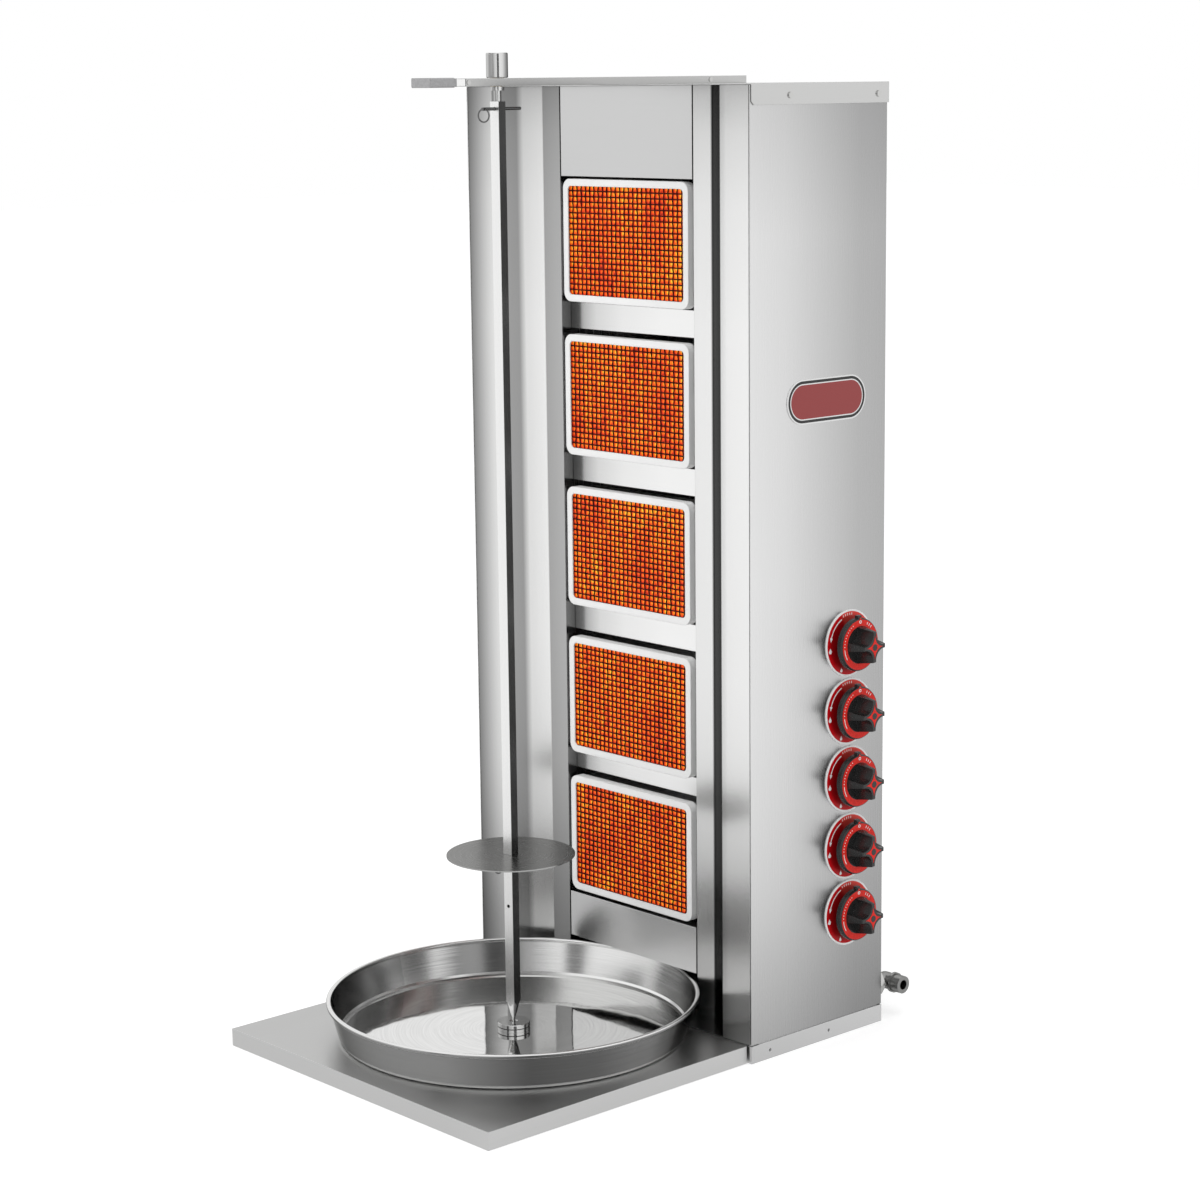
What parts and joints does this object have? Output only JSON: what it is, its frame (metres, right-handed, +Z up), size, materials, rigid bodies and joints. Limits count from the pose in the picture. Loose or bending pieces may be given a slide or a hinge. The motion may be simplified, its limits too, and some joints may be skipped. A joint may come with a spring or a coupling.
{
  "type": "doner kebab grill",
  "caption": "Counter-top gas doner kebab grill: a tower of radiant burners beside a turning spit that hangs from a sliding arm over a sliding drip pan.",
  "frame": {"origin": "on the floor at the middle of the tower's front face, on the lower lip of the base", "axes": "+X to the right as the burners are faced, +Y from the spit towards the tower's back, +Z up"},
  "size_m": [0.5167, 0.6427, 1.1358],
  "materials": {
    "steel": "brushed stainless sheet",
    "polished_steel": "polished stainless",
    "plated_steel": "bright plated steel",
    "enamel": "white enamel, satin",
    "ceramic": "glowing ceramic",
    "wire": "hot wire mesh",
    "cast": "cast, matt",
    "brass": "turned brass",
    "copper_pipe": "drawn pipe, satin",
    "black_plastic": "black, satin",
    "grey_plastic": "grey, satin",
    "dial_red": "printed red and white, satin",
    "badge_red": "dark red, white and black edges, satin"
  },
  "bodies": {
    "tower": {"tower_base": "steel", "tray_panel": "steel", "tray_bolts": "plated_steel", "right_side_panel": "steel", "left_side_panel": "steel", "back_panel": "steel", "case_screws": "plated_steel", "top_cover": "steel", "right_wing": "polished_steel", "left_wing": "polished_steel", "top_front_panel": "polished_steel", "bottom_front_panel": "polished_steel", "spacer_strips": "polished_steel", "burner_screens": "wire", "burner_housings": "cast", "mixer_tubes": "cast", "injectors": "brass", "gas_manifold": "plated_steel", "gas_valves": "brass", "burner_pipes": "copper_pipe", "dial_plates": "dial_red", "inlet_pipe": "plated_steel", "inlet_nut": "plated_steel", "inlet_elbow": "plated_steel", "badge_plate": "badge_red", "arm_channel": "polished_steel", "arm_screws": "plated_steel", "burner_frame_1": "enamel", "burner_tile_1": "ceramic", "burner_frame_2": "enamel", "burner_tile_2": "ceramic", "burner_frame_3": "enamel", "burner_tile_3": "ceramic", "burner_frame_4": "enamel", "burner_tile_4": "ceramic", "burner_frame_5": "enamel", "burner_tile_5": "ceramic"},
    "slider": {"arm_slider": "polished_steel", "arm_handle": "grey_plastic", "pivot_bush": "brass"},
    "turning_spit": {"pivot_knob": "polished_steel", "pivot_shaft": "polished_steel", "spit": "polished_steel", "bearing_cup": "polished_steel"},
    "plate": {"meat_plate": "polished_steel"},
    "upper_pin": {"spit_pin": "plated_steel"},
    "lower_pin": {"plate_pin": "plated_steel"},
    "drip_pan": {"pan": "polished_steel", "bearing_race": "polished_steel", "bearing_balls": "plated_steel"},
    "valve_1": {"valve_stem_1": "brass"},
    "dial_1": {"knob_1": "black_plastic"},
    "valve_2": {"valve_stem_2": "brass"},
    "dial_2": {"knob_2": "black_plastic"},
    "valve_3": {"valve_stem_3": "brass"},
    "dial_3": {"knob_3": "black_plastic"},
    "valve_4": {"valve_stem_4": "brass"},
    "dial_4": {"knob_4": "black_plastic"},
    "valve_5": {"valve_stem_5": "brass"},
    "dial_5": {"knob_5": "black_plastic"}
  },
  "joints": [
    {"name": "arm_slide", "type": "slide", "parent": "tower", "child": "slider", "axis": [0, -1, 0], "range_m": [0, 0.04]},
    {"name": "pan_slide", "type": "slide", "parent": "tower", "child": "drip_pan", "axis": [0, -1, 0], "range_m": [0, 0.04]},
    {"name": "spit_turn", "type": "hinge", "parent": "slider", "child": "turning_spit", "pos_m": [0, -0.15297, 1.1], "axis": [0, 0, 1], "continuous": true},
    {"name": "plate_lift", "type": "slide", "parent": "turning_spit", "child": "plate", "axis": [0, 0, 1], "range_m": [0, 0.8]},
    {"name": "upper_pin_pull", "type": "slide", "parent": "turning_spit", "child": "upper_pin", "axis": [0.1908, -0.9816, 0], "range_m": [0, 0.05]},
    {"name": "lower_pin_pull", "type": "slide", "parent": "turning_spit", "child": "lower_pin", "axis": [0.1908, -0.9816, 0], "range_m": [0, 0.05]},
    {"name": "valve_turn_1", "type": "hinge", "parent": "tower", "child": "valve_1", "pos_m": [0.2367, 0.16, 0.4671], "axis": [1, 0, 0], "range_deg": [0, 200]},
    {"name": "knob_push_1", "type": "slide", "parent": "valve_1", "child": "dial_1", "axis": [-1, 0, 0], "range_m": [0, 0.004], "stiffness_N_per_m": 1500, "springref_m": -0.002},
    {"name": "valve_turn_2", "type": "hinge", "parent": "tower", "child": "valve_2", "pos_m": [0.2367, 0.16, 0.387], "axis": [1, 0, 0], "range_deg": [0, 200]},
    {"name": "knob_push_2", "type": "slide", "parent": "valve_2", "child": "dial_2", "axis": [-1, 0, 0], "range_m": [0, 0.004], "stiffness_N_per_m": 1500, "springref_m": -0.002},
    {"name": "valve_turn_3", "type": "hinge", "parent": "tower", "child": "valve_3", "pos_m": [0.2367, 0.16, 0.3069], "axis": [1, 0, 0], "range_deg": [0, 200]},
    {"name": "knob_push_3", "type": "slide", "parent": "valve_3", "child": "dial_3", "axis": [-1, 0, 0], "range_m": [0, 0.004], "stiffness_N_per_m": 1500, "springref_m": -0.002},
    {"name": "valve_turn_4", "type": "hinge", "parent": "tower", "child": "valve_4", "pos_m": [0.2367, 0.16, 0.2268], "axis": [1, 0, 0], "range_deg": [0, 200]},
    {"name": "knob_push_4", "type": "slide", "parent": "valve_4", "child": "dial_4", "axis": [-1, 0, 0], "range_m": [0, 0.004], "stiffness_N_per_m": 1500, "springref_m": -0.002},
    {"name": "valve_turn_5", "type": "hinge", "parent": "tower", "child": "valve_5", "pos_m": [0.2367, 0.16, 0.1467], "axis": [1, 0, 0], "range_deg": [0, 200]},
    {"name": "knob_push_5", "type": "slide", "parent": "valve_5", "child": "dial_5", "axis": [-1, 0, 0], "range_m": [0, 0.004], "stiffness_N_per_m": 1500, "springref_m": -0.002}
  ],
  "couplings": [
    {"joint": "pan_slide", "follows": "arm_slide", "ratio": 1}
  ]
}
